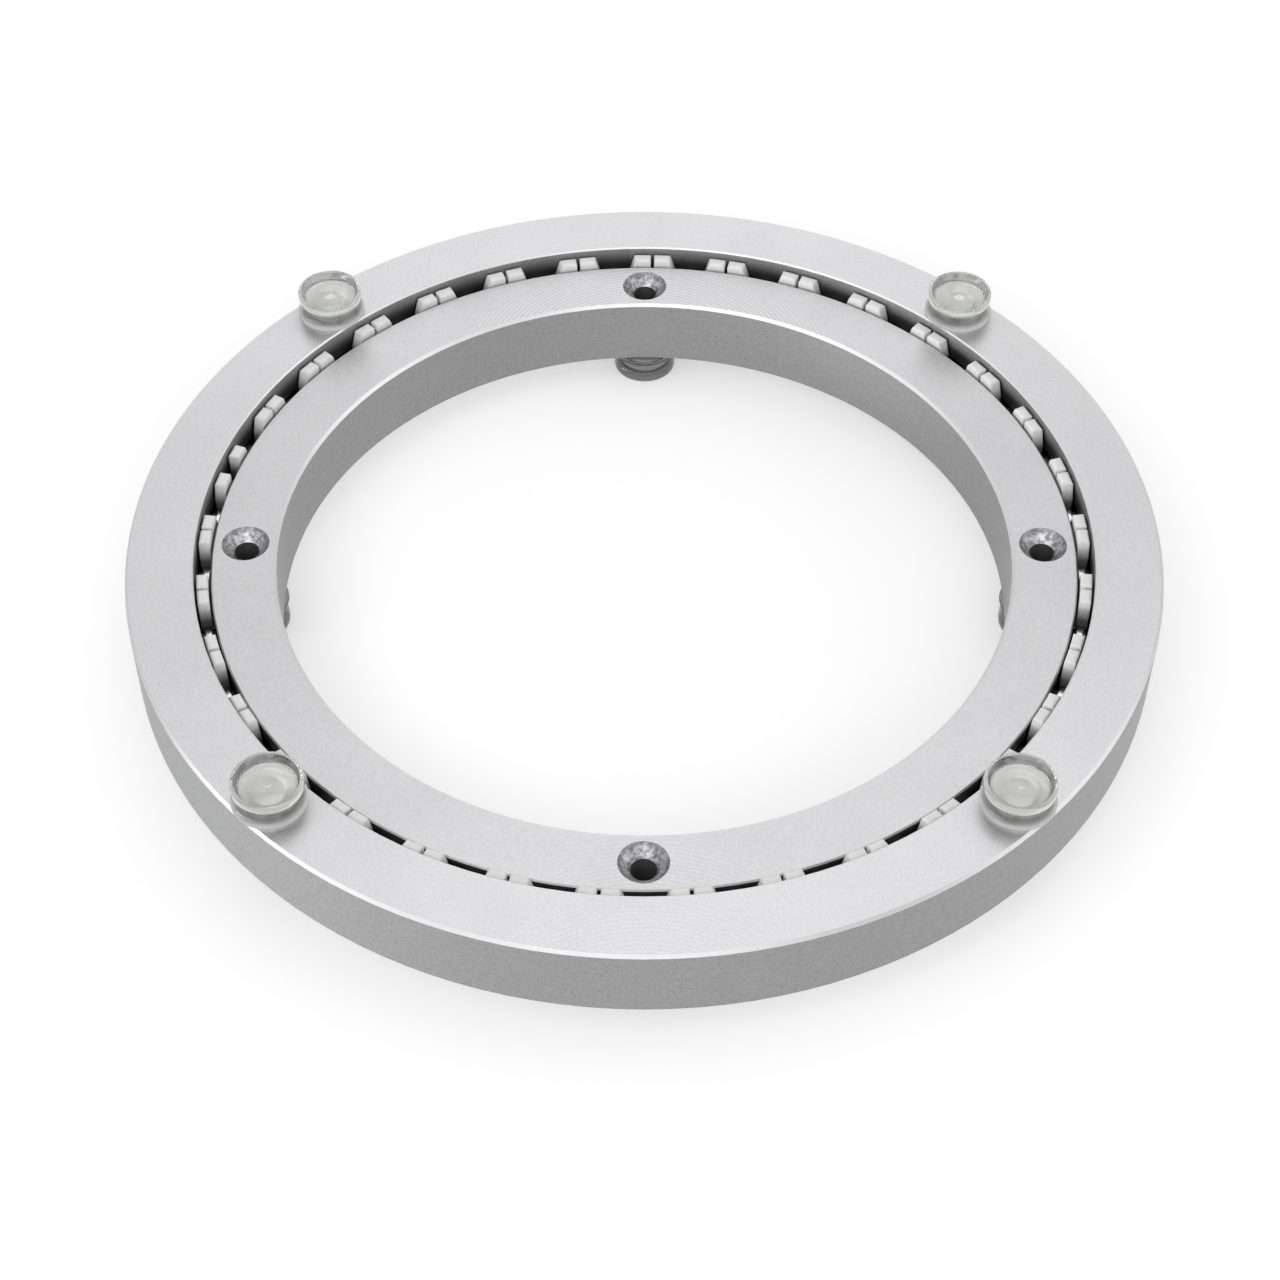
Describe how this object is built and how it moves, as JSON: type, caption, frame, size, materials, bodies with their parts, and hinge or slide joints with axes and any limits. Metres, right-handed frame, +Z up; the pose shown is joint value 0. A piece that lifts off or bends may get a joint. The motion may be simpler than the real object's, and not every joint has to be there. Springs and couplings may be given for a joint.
{
  "type": "lazy susan bearing",
  "caption": "Flat round turntable bearing: a grooved aluminium ring turns round a fixed one on caged steel balls, with clear grip pads above and feet below.",
  "frame": {"origin": "on the bearing's axis, on the surface that the feet stand on", "axes": "+Z up along the axis of rotation, +X and +Y through two of the base ring's screw holes"},
  "size_m": [0.14, 0.14, 0.0212],
  "materials": {
    "aluminium": "satin, fine milled faces",
    "cage_plastic": "moulded, natural white",
    "ball_steel": "polished",
    "clear_bumper": "clear moulded silicone, slightly green"
  },
  "bodies": {
    "base": {"inner_ring": "aluminium", "foot_1": "clear_bumper", "foot_2": "clear_bumper", "foot_3": "clear_bumper", "foot_4": "clear_bumper"},
    "turntable": {"outer_ring": "aluminium", "pad_1": "clear_bumper", "pad_2": "clear_bumper", "pad_3": "clear_bumper", "pad_4": "clear_bumper"},
    "cage": {"ball_cage": "cage_plastic"},
    "ball_01": {"ball_01": "ball_steel"},
    "ball_02": {"ball_02": "ball_steel"},
    "ball_03": {"ball_03": "ball_steel"},
    "ball_04": {"ball_04": "ball_steel"},
    "ball_05": {"ball_05": "ball_steel"},
    "ball_06": {"ball_06": "ball_steel"},
    "ball_07": {"ball_07": "ball_steel"},
    "ball_08": {"ball_08": "ball_steel"},
    "ball_09": {"ball_09": "ball_steel"},
    "ball_10": {"ball_10": "ball_steel"},
    "ball_11": {"ball_11": "ball_steel"},
    "ball_12": {"ball_12": "ball_steel"},
    "ball_13": {"ball_13": "ball_steel"},
    "ball_14": {"ball_14": "ball_steel"},
    "ball_15": {"ball_15": "ball_steel"},
    "ball_16": {"ball_16": "ball_steel"},
    "ball_17": {"ball_17": "ball_steel"},
    "ball_18": {"ball_18": "ball_steel"},
    "ball_19": {"ball_19": "ball_steel"},
    "ball_20": {"ball_20": "ball_steel"},
    "ball_21": {"ball_21": "ball_steel"},
    "ball_22": {"ball_22": "ball_steel"},
    "ball_23": {"ball_23": "ball_steel"},
    "ball_24": {"ball_24": "ball_steel"},
    "ball_25": {"ball_25": "ball_steel"},
    "ball_26": {"ball_26": "ball_steel"},
    "ball_27": {"ball_27": "ball_steel"},
    "ball_28": {"ball_28": "ball_steel"},
    "ball_29": {"ball_29": "ball_steel"},
    "ball_30": {"ball_30": "ball_steel"},
    "ball_31": {"ball_31": "ball_steel"},
    "ball_32": {"ball_32": "ball_steel"},
    "ball_33": {"ball_33": "ball_steel"}
  },
  "joints": [
    {"name": "turntable_spin", "type": "hinge", "parent": "base", "child": "turntable", "pos_m": [0, 0, 0.01165], "axis": [0, 0, 1], "continuous": true},
    {"name": "cage_spin", "type": "hinge", "parent": "base", "child": "cage", "pos_m": [0, 0, 0.01065], "axis": [0, 0, 1], "continuous": true},
    {"name": "ball_01_roll", "type": "hinge", "parent": "cage", "child": "ball_01", "pos_m": [-0.0594, 0.00755, 0.01065], "axis": [0, 0, 1], "continuous": true},
    {"name": "ball_02_roll", "type": "hinge", "parent": "cage", "child": "ball_02", "pos_m": [-0.05976, -0.00374, 0.01065], "axis": [0, 0, 1], "continuous": true},
    {"name": "ball_03_roll", "type": "hinge", "parent": "cage", "child": "ball_03", "pos_m": [-0.05799, -0.0149, 0.01065], "axis": [0, 0, 1], "continuous": true},
    {"name": "ball_04_roll", "type": "hinge", "parent": "cage", "child": "ball_04", "pos_m": [-0.05416, -0.02553, 0.01065], "axis": [0, 0, 1], "continuous": true},
    {"name": "ball_05_roll", "type": "hinge", "parent": "cage", "child": "ball_05", "pos_m": [-0.0484, -0.03525, 0.01065], "axis": [0, 0, 1], "continuous": true},
    {"name": "ball_06_roll", "type": "hinge", "parent": "cage", "child": "ball_06", "pos_m": [-0.04092, -0.04371, 0.01065], "axis": [0, 0, 1], "continuous": true},
    {"name": "ball_07_roll", "type": "hinge", "parent": "cage", "child": "ball_07", "pos_m": [-0.03198, -0.05062, 0.01065], "axis": [0, 0, 1], "continuous": true},
    {"name": "ball_08_roll", "type": "hinge", "parent": "cage", "child": "ball_08", "pos_m": [-0.0219, -0.05573, 0.01065], "axis": [0, 0, 1], "continuous": true},
    {"name": "ball_09_roll", "type": "hinge", "parent": "cage", "child": "ball_09", "pos_m": [-0.01104, -0.05885, 0.01065], "axis": [0, 0, 1], "continuous": true},
    {"name": "ball_10_roll", "type": "hinge", "parent": "cage", "child": "ball_10", "pos_m": [0.00021, -0.05987, 0.01065], "axis": [0, 0, 1], "continuous": true},
    {"name": "ball_11_roll", "type": "hinge", "parent": "cage", "child": "ball_11", "pos_m": [0.01146, -0.05877, 0.01065], "axis": [0, 0, 1], "continuous": true},
    {"name": "ball_12_roll", "type": "hinge", "parent": "cage", "child": "ball_12", "pos_m": [0.02229, -0.05557, 0.01065], "axis": [0, 0, 1], "continuous": true},
    {"name": "ball_13_roll", "type": "hinge", "parent": "cage", "child": "ball_13", "pos_m": [0.03234, -0.05039, 0.01065], "axis": [0, 0, 1], "continuous": true},
    {"name": "ball_14_roll", "type": "hinge", "parent": "cage", "child": "ball_14", "pos_m": [0.04123, -0.04342, 0.01065], "axis": [0, 0, 1], "continuous": true},
    {"name": "ball_15_roll", "type": "hinge", "parent": "cage", "child": "ball_15", "pos_m": [0.04865, -0.0349, 0.01065], "axis": [0, 0, 1], "continuous": true},
    {"name": "ball_16_roll", "type": "hinge", "parent": "cage", "child": "ball_16", "pos_m": [0.05434, -0.02514, 0.01065], "axis": [0, 0, 1], "continuous": true},
    {"name": "ball_17_roll", "type": "hinge", "parent": "cage", "child": "ball_17", "pos_m": [0.0581, -0.01449, 0.01065], "axis": [0, 0, 1], "continuous": true},
    {"name": "ball_18_roll", "type": "hinge", "parent": "cage", "child": "ball_18", "pos_m": [0.05978, -0.00331, 0.01065], "axis": [0, 0, 1], "continuous": true},
    {"name": "ball_19_roll", "type": "hinge", "parent": "cage", "child": "ball_19", "pos_m": [0.05934, 0.00798, 0.01065], "axis": [0, 0, 1], "continuous": true},
    {"name": "ball_20_roll", "type": "hinge", "parent": "cage", "child": "ball_20", "pos_m": [0.05679, 0.01898, 0.01065], "axis": [0, 0, 1], "continuous": true},
    {"name": "ball_21_roll", "type": "hinge", "parent": "cage", "child": "ball_21", "pos_m": [0.05221, 0.02931, 0.01065], "axis": [0, 0, 1], "continuous": true},
    {"name": "ball_22_roll", "type": "hinge", "parent": "cage", "child": "ball_22", "pos_m": [0.04577, 0.0386, 0.01065], "axis": [0, 0, 1], "continuous": true},
    {"name": "ball_23_roll", "type": "hinge", "parent": "cage", "child": "ball_23", "pos_m": [0.03771, 0.04651, 0.01065], "axis": [0, 0, 1], "continuous": true},
    {"name": "ball_24_roll", "type": "hinge", "parent": "cage", "child": "ball_24", "pos_m": [0.0283, 0.05277, 0.01065], "axis": [0, 0, 1], "continuous": true},
    {"name": "ball_25_roll", "type": "hinge", "parent": "cage", "child": "ball_25", "pos_m": [0.01788, 0.05714, 0.01065], "axis": [0, 0, 1], "continuous": true},
    {"name": "ball_26_roll", "type": "hinge", "parent": "cage", "child": "ball_26", "pos_m": [0.00683, 0.05948, 0.01065], "axis": [0, 0, 1], "continuous": true},
    {"name": "ball_27_roll", "type": "hinge", "parent": "cage", "child": "ball_27", "pos_m": [-0.00447, 0.05971, 0.01065], "axis": [0, 0, 1], "continuous": true},
    {"name": "ball_28_roll", "type": "hinge", "parent": "cage", "child": "ball_28", "pos_m": [-0.0156, 0.05781, 0.01065], "axis": [0, 0, 1], "continuous": true},
    {"name": "ball_29_roll", "type": "hinge", "parent": "cage", "child": "ball_29", "pos_m": [-0.02619, 0.05385, 0.01065], "axis": [0, 0, 1], "continuous": true},
    {"name": "ball_30_roll", "type": "hinge", "parent": "cage", "child": "ball_30", "pos_m": [-0.03584, 0.04797, 0.01065], "axis": [0, 0, 1], "continuous": true},
    {"name": "ball_31_roll", "type": "hinge", "parent": "cage", "child": "ball_31", "pos_m": [-0.04421, 0.04038, 0.01065], "axis": [0, 0, 1], "continuous": true},
    {"name": "ball_32_roll", "type": "hinge", "parent": "cage", "child": "ball_32", "pos_m": [-0.05101, 0.03136, 0.01065], "axis": [0, 0, 1], "continuous": true},
    {"name": "ball_33_roll", "type": "hinge", "parent": "cage", "child": "ball_33", "pos_m": [-0.05599, 0.02122, 0.01065], "axis": [0, 0, 1], "continuous": true}
  ],
  "couplings": [
    {"joint": "cage_spin", "follows": "turntable_spin", "ratio": 0.52088},
    {"joint": "ball_01_roll", "follows": "turntable_spin", "ratio": 11.954},
    {"joint": "ball_02_roll", "follows": "turntable_spin", "ratio": 11.954},
    {"joint": "ball_03_roll", "follows": "turntable_spin", "ratio": 11.954},
    {"joint": "ball_04_roll", "follows": "turntable_spin", "ratio": 11.954},
    {"joint": "ball_05_roll", "follows": "turntable_spin", "ratio": 11.954},
    {"joint": "ball_06_roll", "follows": "turntable_spin", "ratio": 11.954},
    {"joint": "ball_07_roll", "follows": "turntable_spin", "ratio": 11.954},
    {"joint": "ball_08_roll", "follows": "turntable_spin", "ratio": 11.954},
    {"joint": "ball_09_roll", "follows": "turntable_spin", "ratio": 11.954},
    {"joint": "ball_10_roll", "follows": "turntable_spin", "ratio": 11.954},
    {"joint": "ball_11_roll", "follows": "turntable_spin", "ratio": 11.954},
    {"joint": "ball_12_roll", "follows": "turntable_spin", "ratio": 11.954},
    {"joint": "ball_13_roll", "follows": "turntable_spin", "ratio": 11.954},
    {"joint": "ball_14_roll", "follows": "turntable_spin", "ratio": 11.954},
    {"joint": "ball_15_roll", "follows": "turntable_spin", "ratio": 11.954},
    {"joint": "ball_16_roll", "follows": "turntable_spin", "ratio": 11.954},
    {"joint": "ball_17_roll", "follows": "turntable_spin", "ratio": 11.954},
    {"joint": "ball_18_roll", "follows": "turntable_spin", "ratio": 11.954},
    {"joint": "ball_19_roll", "follows": "turntable_spin", "ratio": 11.954},
    {"joint": "ball_20_roll", "follows": "turntable_spin", "ratio": 11.954},
    {"joint": "ball_21_roll", "follows": "turntable_spin", "ratio": 11.954},
    {"joint": "ball_22_roll", "follows": "turntable_spin", "ratio": 11.954},
    {"joint": "ball_23_roll", "follows": "turntable_spin", "ratio": 11.954},
    {"joint": "ball_24_roll", "follows": "turntable_spin", "ratio": 11.954},
    {"joint": "ball_25_roll", "follows": "turntable_spin", "ratio": 11.954},
    {"joint": "ball_26_roll", "follows": "turntable_spin", "ratio": 11.954},
    {"joint": "ball_27_roll", "follows": "turntable_spin", "ratio": 11.954},
    {"joint": "ball_28_roll", "follows": "turntable_spin", "ratio": 11.954},
    {"joint": "ball_29_roll", "follows": "turntable_spin", "ratio": 11.954},
    {"joint": "ball_30_roll", "follows": "turntable_spin", "ratio": 11.954},
    {"joint": "ball_31_roll", "follows": "turntable_spin", "ratio": 11.954},
    {"joint": "ball_32_roll", "follows": "turntable_spin", "ratio": 11.954},
    {"joint": "ball_33_roll", "follows": "turntable_spin", "ratio": 11.954}
  ]
}
